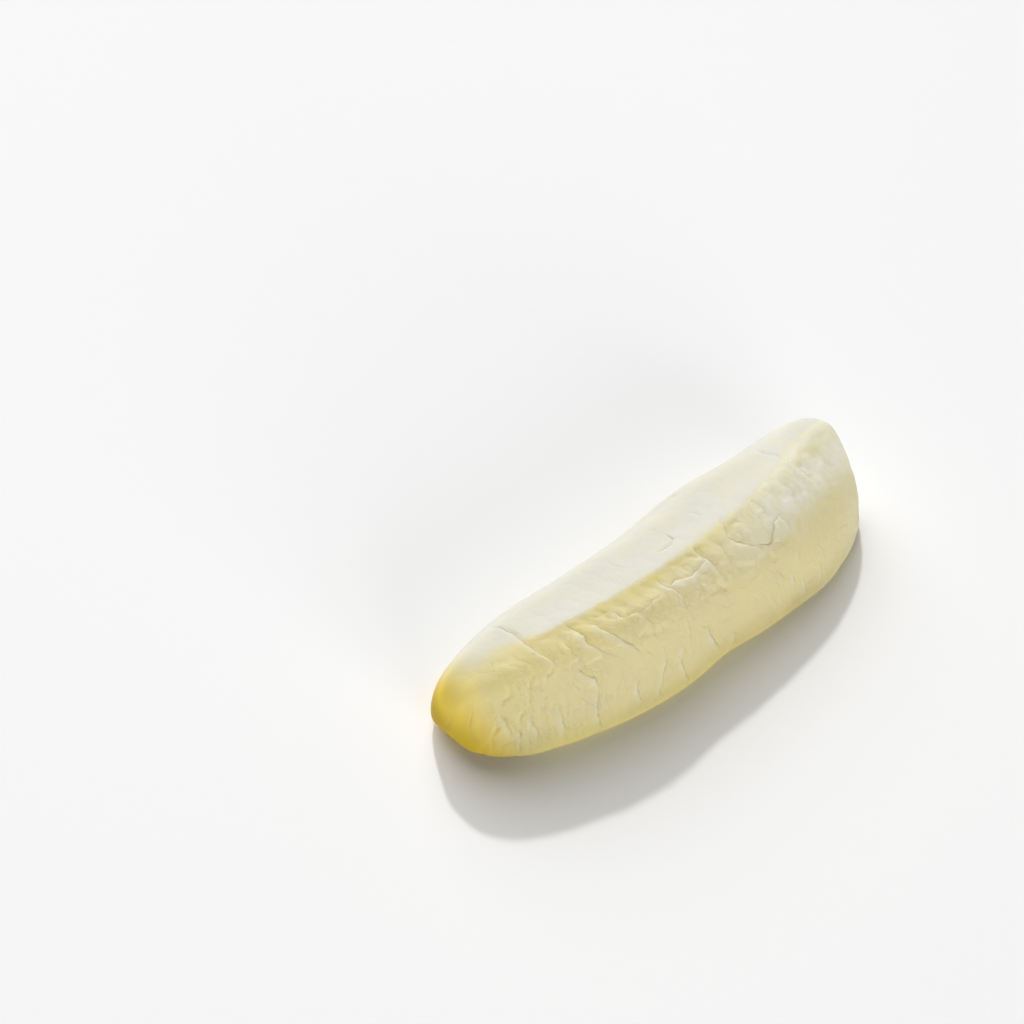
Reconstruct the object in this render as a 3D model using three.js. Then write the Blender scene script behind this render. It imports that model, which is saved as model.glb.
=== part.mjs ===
// Foam banana candy: one moulded bar of aerated sugar foam that lies on its flat underside.
// Lengths are in millimetres. The bar runs along X, from the blunt yellow end (-X) to the pale
// rounded end (+X). It bends in Y: -Y is the outer side of the bend and +Y the hollow side. +Z is up.
// The top is a low roof: a crisp ridge, two slopes, a soft shoulder on each side, then tall flanks.

import * as THREE from "three";

// Driving dimensions of the moulded bar
const LENGTH = 65;
const HEIGHT = 15.9; // of the ridge, before the soft edges take a little off
const WAIST = 3.5; // height of the widest line
const OUTER_WIDTH = 11.4; // from the middle to the widest line, on the outer side
const HOLLOW_WIDTH = 11.2; // the same on the hollow side
const FOOT_SHARE = 0.98; // width of the underside, as a share of the widest line
const BEND = 1.65; // how far both ends lie behind the middle of the bar, in Y
const TWIST_OF_BEND = -0.33; // the yellow end bends a little more than the pale one
const FLAT = 0.12; // what the underside loses to rest on one plane
const LEVEL = 0.4; // the rim of the underside is pressed level up to this height

// Where the ridge runs in Y: its place at mid length, its lean along the bar and its curl at the ends
const RIDGE = { middle: -3.95, lean: 0.2, curl: 3.45 };

// How blunt each end is: a superellipse exponent for the yellow end and for the pale end
const END_FORM = {
  outer: [2.48, 3.56],
  hollow: [2.56, 3.1],
  top: [3.75, 6.8],
  foot: [4.7, 5.6],
};
const TIP = { lift: 0.85, power: 6 }; // the widest line climbs this much towards the yellow tip

// The shoulders: reach is the share of the way from ridge to widest line, height that of the roof.
// The outer one drops towards the pale end. edge says how crisp it is: a higher power is sharper.
const OUTER_SHOULDER = { reach: 0.635, reachSlope: 0.085, height: 0.912, heightSlope: -0.354, edge: 8 };
const HOLLOW_SHOULDER = { reach: 0.51, reachSlope: 0, height: 0.89, heightSlope: 0, edge: 11 };
const HIGHEST_SHOULDER = 0.99;

// The other edges: the waist and the heel are soft, and the ridge softens towards the two ends
const WAIST_EDGE = 11;
const HEEL_EDGE = 14;
const RIDGE_EDGE = { middle: 40, end: 12, fade: 4 };

// Waves of the two long edges: place along X, swell (or dent, below zero) and reach
const OUTER_WAVES = [
  [-21, -0.7, 8],
  [3.5, -0.72, 4.5],
  [21, 0.6, 6],
];
const HOLLOW_WAVES = [
  [-19, 0.72, 7],
  [12, 1.1, 5],
  [29, 0.93, 5],
];

// The skin: cracks are grooves with one raised lip, where the dry plates curl up
const CRACK_WIDTH = 0.5;
const CRACK_DEPTH = 0.24;
const CRACK_FADE = 1.2; // length over which a crack runs out at each end
const CRACK_START = 0.3; // share of its depth that a crack still has at its very end
const LIP_HEIGHT = 0.12;
const LIP_REACH = 1.6;
const VALLEY = { side: 1.1, width: 0.7, depth: 0.16, from: -22, to: 13, fade: 4 };
const PLAIN_FOOT = { height: 1.4, fade: 2.6 }; // no relief below this height, all of it above the fade

// Main cracks as [place along X, distance from the ridge down the outer side], below zero on the
// hollow side. First those that part the plates of the roof, then the long ones of the flank.
const PLATE_CRACKS = [
  [[-22.3, -5.5], [-22.4, -2.5], [-22.2, 1.5], [-20.8, 5]],
  [[-17.2, 0], [-16.4, 2.6], [-15, 6]],
  [[-14.8, 1.6], [-13.4, 4], [-11.8, 6.3], [-10.6, 8.5]],
  [[-11.6, 0.6], [-11, 3], [-8, 3.4], [-4.6, 3]],
  [[-4.2, 0.2], [-3.7, 2.6], [-2.7, 4.4], [-2.6, 6.9]],
  [[-3.7, 2.6], [-1.2, 2.6], [3, 2.3], [4.4, 6.2]],
  [[0.2, -2.1], [2, -2.6], [2.4, -4.6]],
  [[8.2, -1.2], [7.5, 1.8], [9.6, 4.4], [11.2, 6.5]],
  [[10.3, 5], [12.8, 6.2], [14, 4.5], [15.7, 4], [16.2, 6.6]],
  [[20.2, -5.2], [20.9, -2], [22.2, 1.6], [23.3, 4.6]],
];
const FLANK_CRACKS = [
  [[-28.8, 6.2], [-28.4, 8.4], [-28, 11]],
  [[-25.5, 9.6], [-25, 12.5], [-25, 15]],
  [[-21.7, 9.8], [-21.5, 13], [-21.4, 16.5]],
  [[-18.6, 7], [-16.6, 10.4], [-17.2, 13.5], [-17, 17]],
  [[-11.2, 12.2], [-11.4, 15], [-11, 17]],
  [[-6.7, 11], [-7.4, 13.8], [-8.4, 16.5]],
  [[-4.1, 11.4], [-4.7, 13.6], [-4.2, 17]],
  [[0.3, 11.4], [1.1, 14], [2.3, 16]],
  [[4.6, 14.6], [4.4, 16.2], [4.1, 18]],
  [[16.2, 13.4], [16.6, 15.2], [16.9, 17.2]],
];
const CRACKS = [...PLATE_CRACKS, ...FLANK_CRACKS];

// The mesh: rings along the bar, and columns on each side, fine above the foot and wide below
const RINGS = 99;
const UPPER_COLUMNS = 25;
const UNDER_COLUMNS = 4;
const PLAN_FORM = [2.6, 4.5]; // middling form of the two ends, which spaces the rings
const CURVE_STEPS = 2000; // steps that measure a curve before it is cut into even lengths
const FARTHEST = 1.6; // no point of a section lies further out than this times its largest size
const TINY = 1e-6; // keeps a division from running to infinity at the very ends

const clamp = (value, low, high) => Math.min(Math.max(value, low), high);
const smooth = (value) => value * value * (3 - 2 * value);
const bell = (distance, width) => Math.exp(-((distance / width) ** 2));

// Share of the full size that is left at t (-1 to 1 along the bar): 1 - |t|^p, to the power 1/p.
function endForm([yellow, pale], t) {
  const power = t < 0 ? yellow : pale;
  return Math.max(1 - Math.abs(t) ** power, 0) ** (1 / power);
}

// Sum of smooth swells and dents along X.
function wave(rows, x) {
  return rows.reduce((sum, [place, swell, reach]) => sum + swell * bell(x - place, reach), 0);
}

// The sizes of the cross section at t, measured from the middle of the widest line, which lies at
// the height of the waist.
function sectionAt(t) {
  const x = (t * LENGTH) / 2;
  const waist = WAIST + TIP.lift * Math.max(-t, 0) ** TIP.power;
  const roof = (HEIGHT - waist) * endForm(END_FORM.top, t);
  const foot = WAIST * endForm(END_FORM.foot, t);
  const outer = -(OUTER_WIDTH + wave(OUTER_WAVES, x)) * endForm(END_FORM.outer, t);
  const hollow = (HOLLOW_WIDTH + wave(HOLLOW_WAVES, x)) * endForm(END_FORM.hollow, t);
  const ridge = (RIDGE.middle + RIDGE.lean * t + RIDGE.curl * t * t) * endForm(END_FORM.top, t);
  const middle = BEND * (t * t - 1 / 3) + TWIST_OF_BEND * t ** 3;
  return { t, x, waist, roof, foot, outer, hollow, ridge, middle };
}

// How much of the way to the flat face through points a and b a unit step (dy, dz) covers.
function faceShare([ay, az], [by, bz], dy, dz) {
  const ny = bz - az;
  const nz = ay - by;
  const long = Math.hypot(ny, nz) + TINY;
  const away = (ny * ay + nz * az) / long;
  return Math.max(((ny * dy + nz * dz) / long) * Math.sign(away), 0) / (Math.abs(away) + TINY);
}

// Several faces joined with soft edges: the power mean of their shares.
const powerMean = (shares, power) => shares.reduce((sum, share) => sum + share ** power, 0) ** (1 / power);

// One side of the section: its roof slope, shoulder slope, flank and foot, joined softly.
function sideShare(section, edge, shoulder, dy, dz) {
  const { t, roof, foot, ridge } = section;
  const reach = shoulder.reach + shoulder.reachSlope * t;
  const height = Math.min(shoulder.height + shoulder.heightSlope * t, HIGHEST_SHOULDER);
  const top = [ridge, roof];
  const bend = [ridge + (edge - ridge) * reach, roof * height];
  const waist = [edge, 0];
  const heel = [edge * FOOT_SHARE, -foot];
  const slope = faceShare(top, bend, dy, dz);
  const fall = faceShare(bend, waist, dy, dz);
  const flank = faceShare(waist, heel, dy, dz);
  const under = Math.max(-dz, 0) / (foot + TINY);
  const upper = powerMean([powerMean([slope, fall], shoulder.edge), flank], WAIST_EDGE);
  return powerMean([upper, under], HEEL_EDGE);
}

// A point of the section. share runs from -1 (middle of the underside, by the hollow side) over
// 0 (the ridge) to 1 (middle of the underside again, by the outer side).
function sectionPoint(section, share) {
  const { t, x, waist, roof, foot, outer, hollow, ridge, middle } = section;
  const up = Math.atan2(roof, ridge);
  const turn = share > 0 ? (1.5 * Math.PI - up) * share : (up + 0.5 * Math.PI) * share;
  const dy = Math.cos(up + turn);
  const dz = Math.sin(up + turn);
  const outerShare = sideShare(section, outer, OUTER_SHOULDER, dy, dz);
  const hollowShare = sideShare(section, hollow, HOLLOW_SHOULDER, dy, dz);
  const crisp = 1 - Math.abs(t) ** RIDGE_EDGE.fade;
  const edge = RIDGE_EDGE.end + (RIDGE_EDGE.middle - RIDGE_EDGE.end) * crisp;
  const both = powerMean([outerShare, hollowShare], edge);
  const widest = FARTHEST * Math.max(Math.abs(outer), hollow, roof, foot);
  const radius = Math.min(1 / Math.max(both, TINY), widest);
  return new THREE.Vector3(x, radius * dy + middle, waist + radius * dz);
}

// Values that cut a curve, given as points for values from `from` to `to`, into even lengths.
function evenSteps(point, from, to, steps) {
  const values = Array.from({ length: CURVE_STEPS + 1 }, (_, i) => from + ((to - from) * i) / CURVE_STEPS);
  const run = [0];
  for (let i = 1; i <= CURVE_STEPS; i += 1) {
    run.push(run[i - 1] + point(values[i]).distanceTo(point(values[i - 1])));
  }
  const wanted = Array.from({ length: steps + 1 }, (_, i) => (run[CURVE_STEPS] * i) / steps);
  return wanted.map((length) => {
    const next = clamp(run.findIndex((value) => value >= length), 1, CURVE_STEPS);
    const part = (length - run[next - 1]) / (run[next] - run[next - 1]);
    return values[next - 1] + (values[next] - values[next - 1]) * part;
  });
}

// Shares of the columns: even steps from ridge to heel, and wider ones below, on both sides.
function columnShares() {
  const section = sectionAt(0);
  const up = Math.atan2(section.roof, section.ridge);
  const side = (heelShare, sign) => {
    const point = (share) => sectionPoint(section, share * sign);
    const upper = evenSteps(point, 0, heelShare, UPPER_COLUMNS);
    const under = evenSteps(point, heelShare, 1, UNDER_COLUMNS);
    return [...upper, ...under.slice(1)].map((share) => share * sign);
  };
  const heelAngle = (edge) => Math.atan2(-section.foot, edge * FOOT_SHARE);
  const outerHeel = (heelAngle(section.outer) + 2 * Math.PI - up) / (1.5 * Math.PI - up);
  const hollowHeel = (up - heelAngle(section.hollow)) / (up + 0.5 * Math.PI);
  return [...side(hollowHeel, -1).reverse(), ...side(outerHeel, 1).slice(1)];
}

// Stations of the rings: even steps along the outline of a bar whose ends have the plan form.
function ringStations() {
  const outline = (angle) => {
    const power = angle > Math.PI / 2 ? PLAN_FORM[0] : PLAN_FORM[1];
    const along = Math.abs(Math.cos(angle)) / (LENGTH / 2);
    const across = Math.sin(angle) / OUTER_WIDTH;
    const radius = (along ** power + across ** power) ** (-1 / power);
    return new THREE.Vector3(radius * Math.cos(angle), radius * Math.sin(angle), 0);
  };
  const angles = evenSteps(outline, Math.PI, 0, RINGS + 1).slice(1, -1);
  return angles.map((angle) => (outline(angle).x * 2) / LENGTH);
}

// Depth of a crack at a place of the skin: a groove along its line, with a lip on its lower side.
function crackRelief(line, x, girth) {
  let near = Infinity;
  let side = 0;
  let along = 0;
  let run = 0;
  for (let i = 1; i < line.length; i += 1) {
    const [ax, ag] = line[i - 1];
    const [bx, bg] = line[i];
    const long = Math.hypot(bx - ax, bg - ag);
    const part = clamp(((x - ax) * (bx - ax) + (girth - ag) * (bg - ag)) / long ** 2, 0, 1);
    const distance = Math.hypot(x - ax - part * (bx - ax), girth - ag - part * (bg - ag));
    if (distance < near) {
      near = distance;
      side = (bx - ax) * (girth - ag) - (bg - ag) * (x - ax);
      along = run + part * long;
    }
    run += long;
  }
  const end = smooth(clamp(Math.min(along, run - along) / CRACK_FADE + CRACK_START, 0, 1));
  const groove = bell(near, CRACK_WIDTH);
  const reach = near / LIP_REACH;
  const lip = side > 0 ? (1 - groove) * Math.exp(-reach) * clamp(2 - reach, 0, 1) : 0;
  return end * (LIP_HEIGHT * lip - CRACK_DEPTH * groove);
}

// All relief of the skin at a place: cracks, and the shallow valley beside the ridge.
function skinRelief(x, girth) {
  const within = clamp(Math.min(x - VALLEY.from, VALLEY.to - x) / VALLEY.fade, 0, 1);
  const valley = -VALLEY.depth * smooth(within) * bell(girth - VALLEY.side, VALLEY.width);
  const cracks = CRACKS.map((line) => crackRelief(line, x, girth));
  return valley + Math.min(...cracks, 0) + Math.max(...cracks, 0);
}

// The bare surface as a grid of points, with each point's distance from the ridge along its ring.
function bareGrid() {
  const shares = columnShares();
  const ridge = shares.indexOf(0);
  return ringStations().map((t) => {
    const section = sectionAt(t);
    const points = shares.map((share) => sectionPoint(section, share));
    const run = [0];
    for (let j = 1; j < points.length; j += 1) {
      run.push(run[j - 1] + points[j].distanceTo(points[j - 1]));
    }
    return { points, girth: run.map((value) => value - run[ridge]) };
  });
}

// Moves each point along the surface's own normal by the relief, then lays the underside flat.
function carvedGrid(grid) {
  const lastRing = grid.length - 1;
  const lastColumn = grid[0].points.length - 1;
  return grid.map(({ points, girth }, i) => {
    const before = grid[Math.max(i - 1, 0)].points;
    const after = grid[Math.min(i + 1, lastRing)].points;
    return points.map((point, j) => {
      const along = after[j].clone().sub(before[j]);
      const around = points[Math.min(j + 1, lastColumn)].clone().sub(points[Math.max(j - 1, 0)]);
      const normal = around.cross(along).normalize();
      const clear = smooth(clamp((point.z - PLAIN_FOOT.height) / PLAIN_FOOT.fade, 0, 1));
      const moved = point.clone().addScaledVector(normal, clear * skinRelief(point.x, girth[j]));
      moved.z = moved.z < LEVEL ? 0 : moved.z - FLAT;
      return moved;
    });
  });
}

// The closed surface: the first and last column are one seam, and each end closes on one point.
function bananaGeometry() {
  const grid = carvedGrid(bareGrid());
  const rings = grid.length;
  const columns = grid[0].length - 1;
  const positions = grid.flatMap((ring) => ring.slice(0, columns).flatMap((point) => point.toArray()));
  for (const end of [sectionAt(-1), sectionAt(1)]) {
    positions.push(end.x, end.middle, end.waist - FLAT);
  }
  const vertex = (ring, column) => ring * columns + (column % columns);
  const yellowEnd = rings * columns;
  const paleEnd = yellowEnd + 1;
  const faces = [];
  for (let j = 0; j < columns; j += 1) {
    for (let i = 0; i < rings - 1; i += 1) {
      const [a, b] = [vertex(i, j), vertex(i, j + 1)];
      const [c, d] = [vertex(i + 1, j + 1), vertex(i + 1, j)];
      faces.push(a, b, c, a, c, d);
    }
    faces.push(yellowEnd, vertex(0, j + 1), vertex(0, j));
    faces.push(paleEnd, vertex(rings - 1, j), vertex(rings - 1, j + 1));
  }
  const geometry = new THREE.BufferGeometry();
  geometry.setAttribute("position", new THREE.Float32BufferAttribute(positions, 3));
  geometry.setIndex(faces);
  geometry.computeVertexNormals();
  return geometry;
}

// Sets the geometry down with the middle of its box at x = y = 0 and its underside at z = 0.
function setDown(geometry) {
  geometry.computeBoundingBox();
  const { min, max } = geometry.boundingBox;
  geometry.translate(-(min.x + max.x) / 2, -(min.y + max.y) / 2, -min.z);
  return geometry;
}

const foam = new THREE.MeshStandardMaterial({ color: 0xe2dcb4, roughness: 0.85, metalness: 0 });
const banana = new THREE.Mesh(setDown(bananaGeometry()), foam);
banana.name = "foam_banana";

const candy = new THREE.Group();
candy.add(banana);

export default candy;
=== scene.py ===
# %% [markdown]
# # A foam banana candy
# This notebook dresses one foam banana, a soft bar of aerated sugar foam about as long as a thumb.
# The solid comes from the frame: its size and place are fixed there. Here it gets its skin, which on
# the real candy is dry and chalky, finely cracked into plates, and bright yellow at one end.

# %% Load the frame
import math

import bpy
import numpy as np
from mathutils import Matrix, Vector


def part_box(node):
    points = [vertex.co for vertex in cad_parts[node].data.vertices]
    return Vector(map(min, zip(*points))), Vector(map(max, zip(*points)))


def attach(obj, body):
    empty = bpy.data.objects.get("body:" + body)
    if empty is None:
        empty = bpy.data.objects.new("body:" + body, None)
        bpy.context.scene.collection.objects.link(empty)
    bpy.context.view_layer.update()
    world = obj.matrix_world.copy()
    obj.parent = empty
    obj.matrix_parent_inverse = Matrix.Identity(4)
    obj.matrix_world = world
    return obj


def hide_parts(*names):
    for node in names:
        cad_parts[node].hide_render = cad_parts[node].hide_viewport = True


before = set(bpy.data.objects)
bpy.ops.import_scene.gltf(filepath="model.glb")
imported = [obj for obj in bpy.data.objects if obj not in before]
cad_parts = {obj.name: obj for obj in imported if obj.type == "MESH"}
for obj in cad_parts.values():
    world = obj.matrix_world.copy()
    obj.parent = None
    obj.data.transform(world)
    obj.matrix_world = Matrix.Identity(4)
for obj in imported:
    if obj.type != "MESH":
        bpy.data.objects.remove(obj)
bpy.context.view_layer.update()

MM = 0.001  # the candy is small, so its sizes are in millimetres here and turned into metres at the end
NODE = "foam_banana"
node_low, node_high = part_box(NODE)
print("the solid measures", [round((b - a) / MM, 1) for a, b in zip(node_low, node_high)], "mm")

# %% [markdown]
# ## The camera
# The candy lies on a table, seen from 48 degrees above it, from far away with a long lens, so lines
# that are parallel stay nearly so. It is easiest to think in the table's own directions first: X to
# the right of the picture, Y away from the camera. The candy lies turned on that table, so the camera's
# place is turned back into the candy's own frame. A function does this for any point of the table,
# because the lights need it too.

# %% Camera
VIEW_ELEVATION = math.radians(48)
VIEW_DISTANCE = 620
LENS_PER_SENSOR = 4867 / 1024  # picture widths from lens to sensor: the lens is 4.75 sensor widths long
SENSOR = 36
NEAREST_SEEN = 0.05  # in metres
CANDY_ON_TABLE = Vector((17.07, -18.3, 0))  # right of the middle of the picture and nearer
CANDY_TURN = math.radians(41.95)
CANDY_SHIFT = Vector((-0.01, -0.06, -0.12))  # from the middle of the bar's bend to the middle of its box


def from_table(point):
    """A point of the table in the candy's frame: turned back round the candy's place, then shifted."""
    x, y, z = Vector(point) - CANDY_ON_TABLE
    c, s = math.cos(CANDY_TURN), math.sin(CANDY_TURN)
    return (Vector((c * x + s * y, c * y - s * x, z)) + CANDY_SHIFT) * MM


def look_at(thing, place, target):
    """Sets a camera or light at place so that its -Z axis points at target and its Y axis stays up."""
    thing.location = place
    thing.rotation_euler = (target - place).to_track_quat("-Z", "Y").to_euler()


picture_middle = from_table((0, 0, 0))
view = (0, -VIEW_DISTANCE * math.cos(VIEW_ELEVATION), VIEW_DISTANCE * math.sin(VIEW_ELEVATION))
camera = bpy.data.objects.new("camera", bpy.data.cameras.new("camera"))
bpy.context.scene.collection.objects.link(camera)
camera.data.sensor_width = SENSOR
camera.data.lens = SENSOR * LENS_PER_SENSOR
camera.data.clip_start = NEAREST_SEEN
look_at(camera, from_table(view), picture_middle)
bpy.context.scene.camera = camera
print("camera lens", round(camera.data.lens, 1), "mm at", [round(v, 3) for v in camera.location])

# %% [markdown]
# ## The form of the bar
# The bar is a surface of two parameters. `t` runs along it, from -1 at the yellow end to 1 at the pale
# end. `share` runs around it, from -1 under the hollow side, over 0 on the ridge, to 1 under the outer
# side. A box with bevels could be sculpted into this form, but a formula has two gains: every size
# keeps its name, and the mesh can be made as fine as the skin needs. The sizes are those of the solid.

# %% Sizes of the bar
LENGTH = (node_high.x - node_low.x) / MM
HEIGHT = 15.9  # of the ridge, before its edge is rounded and the underside is pressed flat
WAIST = 3.5  # height of the widest line above the table
OUTER_WIDTH = 11.4  # from the middle line to the outer side
HOLLOW_WIDTH = 11.2  # and to the hollow side
FOOT_SHARE = 0.98  # width at the table, as a share of the width at the waist
BEND = 1.65  # the ends lie this much nearer to the hollow side than the middle does
TWIST_OF_BEND = -0.33  # and the yellow end a little more, the pale end a little less
FLAT = 0.12  # the lowest part of the bar, this thick, is pressed flat
RIDGE_MIDDLE, RIDGE_LEAN, RIDGE_CURL = -3.95, 0.2, 3.45  # place of the ridge: middle + lean t + curl t^2
# How full each end is, as a power for the yellow end and one for the pale end: the larger, the blunter.
END_FORM = {"outer": (2.48, 3.56), "hollow": (2.56, 3.1), "top": (3.75, 6.8), "foot": (4.7, 5.6)}
TIP_LIFT, TIP_POWER = 0.85, 6  # the yellow tip stands this much higher than the rest of the widest line
# Where the roof bends down to the flank: its share of the way out and up, how both change with t, and
# how crisp the bend is.
OUTER_SHOULDER = {"reach": 0.635, "reach_slope": 0.085, "height": 0.912, "height_slope": -0.354, "edge": 8}
HOLLOW_SHOULDER = {"reach": 0.51, "reach_slope": 0, "height": 0.89, "height_slope": 0, "edge": 11}
HIGHEST_SHOULDER = 0.99  # a shoulder never stands higher than this share of the roof
SOFT_EDGE = 11  # how crisp the waist is
HEEL_EDGE = 14  # and the edge of the underside
RIDGE_EDGE = {"middle": 40, "end": 12, "fade": 4}  # how crisp the ridge is, and the power of its fading
# Swells and dents of the two sides: place along the bar, size and reach.
OUTER_WAVES = [(-21, -0.7, 8), (3.5, -0.72, 4.5), (21, 0.6, 6)]
HOLLOW_WAVES = [(-19, 0.72, 7), (12, 1.1, 5), (29, 0.93, 5)]
FARTHEST = 1.6  # no point of a section lies further out than this times its largest size
TINY = 1e-6  # keeps a division from running to infinity at the very ends
print("the bar is", round(LENGTH, 1), "mm long and its widest line lies", WAIST, "mm above the table")

# %% Small helpers for whole arrays


def bell(distance, width):
    """exp(-(d / w)^2): 1 at the middle, falling softly to 0 past two widths."""
    return np.exp(-((distance / width) ** 2))


def ease(value, start, end):
    """0 before start, 1 after end, and s * s * (3 - 2 s) between; start may be the larger of the two."""
    s = np.clip((value - start) / (end - start), 0, 1)
    return s * s * (3 - 2 * s)


def end_form(form, t):
    """Share of the full size that is left at t: (1 - |t|^p)^(1/p), with one p for each end."""
    power = np.where(t < 0, form[0], form[1])
    return np.maximum(1 - np.abs(t) ** power, 0) ** (1 / power)


def waves(rows, x):
    """Sum of swells and dents along X: size * exp(-((x - place) / reach)^2)."""
    return sum(swell * bell(x - place, reach) for place, swell, reach in rows)


# %% The cross section


def section_sizes(t):
    """Heights of the waist, roof and foot, both half widths and the places of ridge and middle, at t."""
    x = t * LENGTH / 2
    top = end_form(END_FORM["top"], t)
    waist = WAIST + TIP_LIFT * np.where(t < 0, t, 0) ** TIP_POWER
    return {
        "t": t,
        "waist": waist,
        "roof": (HEIGHT - waist) * top,
        "foot": WAIST * end_form(END_FORM["foot"], t),
        "outer": -(OUTER_WIDTH + waves(OUTER_WAVES, x)) * end_form(END_FORM["outer"], t),
        "hollow": (HOLLOW_WIDTH + waves(HOLLOW_WAVES, x)) * end_form(END_FORM["hollow"], t),
        "ridge": (RIDGE_MIDDLE + RIDGE_LEAN * t + RIDGE_CURL * t * t) * top,
        "middle": BEND * (t * t - 1 / 3) + TWIST_OF_BEND * t**3,
    }


def face_share(a, b, dy, dz):
    """How much of the way to the line through a and b a unit step (dy, dz) covers: (n . d) / (n . a)."""
    ny, nz = b[1] - a[1], a[0] - b[0]
    long = np.hypot(ny, nz) + TINY
    away = (ny * a[0] + nz * a[1]) / long
    return np.maximum((ny * dy + nz * dz) / long * np.sign(away), 0) / (np.abs(away) + TINY)


def power_mean(shares, power):
    """(sum of share^p)^(1/p): the larger p is, the crisper the edge where two faces meet."""
    return sum(share**power for share in shares) ** (1 / power)


def side_share(sizes, edge, shoulder, dy, dz):
    """One side of the section: roof slope, shoulder slope, flank and underside, joined softly."""
    t, roof, foot, ridge = (sizes[name] for name in ("t", "roof", "foot", "ridge"))
    reach = shoulder["reach"] + shoulder["reach_slope"] * t
    height = np.minimum(shoulder["height"] + shoulder["height_slope"] * t, HIGHEST_SHOULDER)
    top, waist, heel = (ridge, roof), (edge, 0 * edge), (edge * FOOT_SHARE, -foot)
    bend = (ridge + (edge - ridge) * reach, roof * height)
    slope = face_share(top, bend, dy, dz)
    fall = face_share(bend, waist, dy, dz)
    roof_share = power_mean([slope, fall], shoulder["edge"])
    flank = face_share(waist, heel, dy, dz)
    under = np.maximum(-dz, 0) / (foot + TINY)
    return power_mean([power_mean([roof_share, flank], SOFT_EDGE), under], HEEL_EDGE)


def bar_surface(t, share):
    """
    Points of the bar for a column of t and a row of share, as arrays (x, y, z) in millimetres.
    A ray leaves the middle of the waist at an angle that starts at the ridge and turns with share.
    Its length is 1 / (power mean of both sides' shares), so it ends on the rounded section. The ridge is
    crisp in the middle and softer towards the ends: its power falls from 40 to 12 with |t|^4.
    """
    sizes = section_sizes(t)
    up = np.arctan2(sizes["roof"], sizes["ridge"])
    turn = np.where(share > 0, (1.5 * np.pi - up) * share, (up + 0.5 * np.pi) * share)
    dy, dz = np.cos(up + turn), np.sin(up + turn)
    outer = side_share(sizes, sizes["outer"], OUTER_SHOULDER, dy, dz)
    hollow = side_share(sizes, sizes["hollow"], HOLLOW_SHOULDER, dy, dz)
    softening = np.abs(t) ** RIDGE_EDGE["fade"]
    crisp = RIDGE_EDGE["middle"] * (1 - softening) + RIDGE_EDGE["end"] * softening
    both = power_mean([outer, hollow], crisp)
    widest = np.maximum.reduce([np.abs(sizes["outer"]), sizes["hollow"], sizes["roof"], sizes["foot"]])
    radius = np.minimum(1 / np.maximum(both, TINY), FARTHEST * widest)
    x = np.broadcast_to(t * LENGTH / 2, radius.shape)
    return x, radius * dy + sizes["middle"], sizes["waist"] + radius * dz


middle_ring = bar_surface(np.zeros((1, 1)), np.linspace(-1, 1, 201)[None, :])
print("the middle ring is", round(float(np.ptp(middle_ring[1])), 1), "mm wide and",
      round(float(np.ptp(middle_ring[2])), 1), "mm high")

# %% [markdown]
# ## Where the points of the mesh go
# The plates of the skin curl up by as much as a fifth of a millimetre over about a millimetre, so the
# mesh needs steps near 0.15 mm on all that shows. Equal steps of `t` would crowd or starve the ends, so
# both parameters are spaced by length: a curve is measured in small steps and then cut into even ones.
# The hollow flank takes longer steps than the sides that face the camera, and the flat underside takes
# few.

# %% Even steps
RINGS = 420
COLUMNS = {"outer": (76, 62, 8), "hollow": (58, 22, 8)}  # steps on the roof, on the flank and below
ROOF_PART = 0.55  # the roof takes this share of the way from the ridge to the heel
PLAN_FORM = (2.6, 4.5)  # middling form of the two ends, which spaces the rings
CURVE_STEPS = 4000


def even_steps(values, points, count):
    """Cuts a curve, given as points at values, into count even lengths, and returns the values there."""
    run = np.concatenate([[0], np.cumsum(np.hypot(*np.diff(points, axis=1)))])
    return np.interp(np.linspace(0, run[-1], count + 1), run, values)


def ring_stations():
    """Values of t at even steps along the outline |x / a|^p + (y / b)^p = 1, with a p for each end."""
    angle = np.linspace(np.pi, 0, CURVE_STEPS)
    power = np.where(angle > np.pi / 2, PLAN_FORM[0], PLAN_FORM[1])
    along = (np.abs(np.cos(angle)) * 2 / LENGTH) ** power
    across = (np.sin(angle) / OUTER_WIDTH) ** power
    radius = (along + across) ** (-1 / power)
    angles = even_steps(angle, radius * np.array([np.cos(angle), np.sin(angle)]), RINGS + 1)[1:-1]
    return np.interp(-angles, -angle, radius * np.cos(angle))[:, None] * 2 / LENGTH


def side_columns(sign, heel, counts):
    """
    Values of share on one side, from the ridge to the seam below. The first steps go to ROOF_PART of
    the way to the heel, the next ones to the heel, and the last ones under the bar.
    """
    parts = [np.zeros(1)]
    stops = (0, ROOF_PART * heel, heel, 1)
    for start, end, steps in zip(stops, stops[1:], counts):
        share = np.linspace(start, end, CURVE_STEPS)
        _, y, z = bar_surface(np.zeros((1, 1)), share[None, :] * sign)
        parts.append(even_steps(share, np.array([y[0], z[0]]), steps)[1:])
    return sign * np.concatenate(parts)


# %% The grid of points
middle = {name: float(size) for name, size in section_sizes(np.zeros(())).items()}
up_angle = math.atan2(middle["roof"], middle["ridge"])
outer_heel = math.atan2(-middle["foot"], middle["outer"] * FOOT_SHARE) + 2 * math.pi - up_angle
hollow_heel = up_angle - math.atan2(-middle["foot"], middle["hollow"] * FOOT_SHARE)
outer_share = side_columns(1, outer_heel / (1.5 * math.pi - up_angle), COLUMNS["outer"])
hollow_share = side_columns(-1, hollow_heel / (up_angle + 0.5 * math.pi), COLUMNS["hollow"])
shares = np.concatenate([hollow_share[::-1], outer_share[1:]])[None, :]
stations = ring_stations()
ridge_column = len(hollow_share) - 1
bar = np.stack(bar_surface(stations, shares), axis=-1)
print("the grid has", bar.shape[0], "rings of", bar.shape[1], "points")

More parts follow.
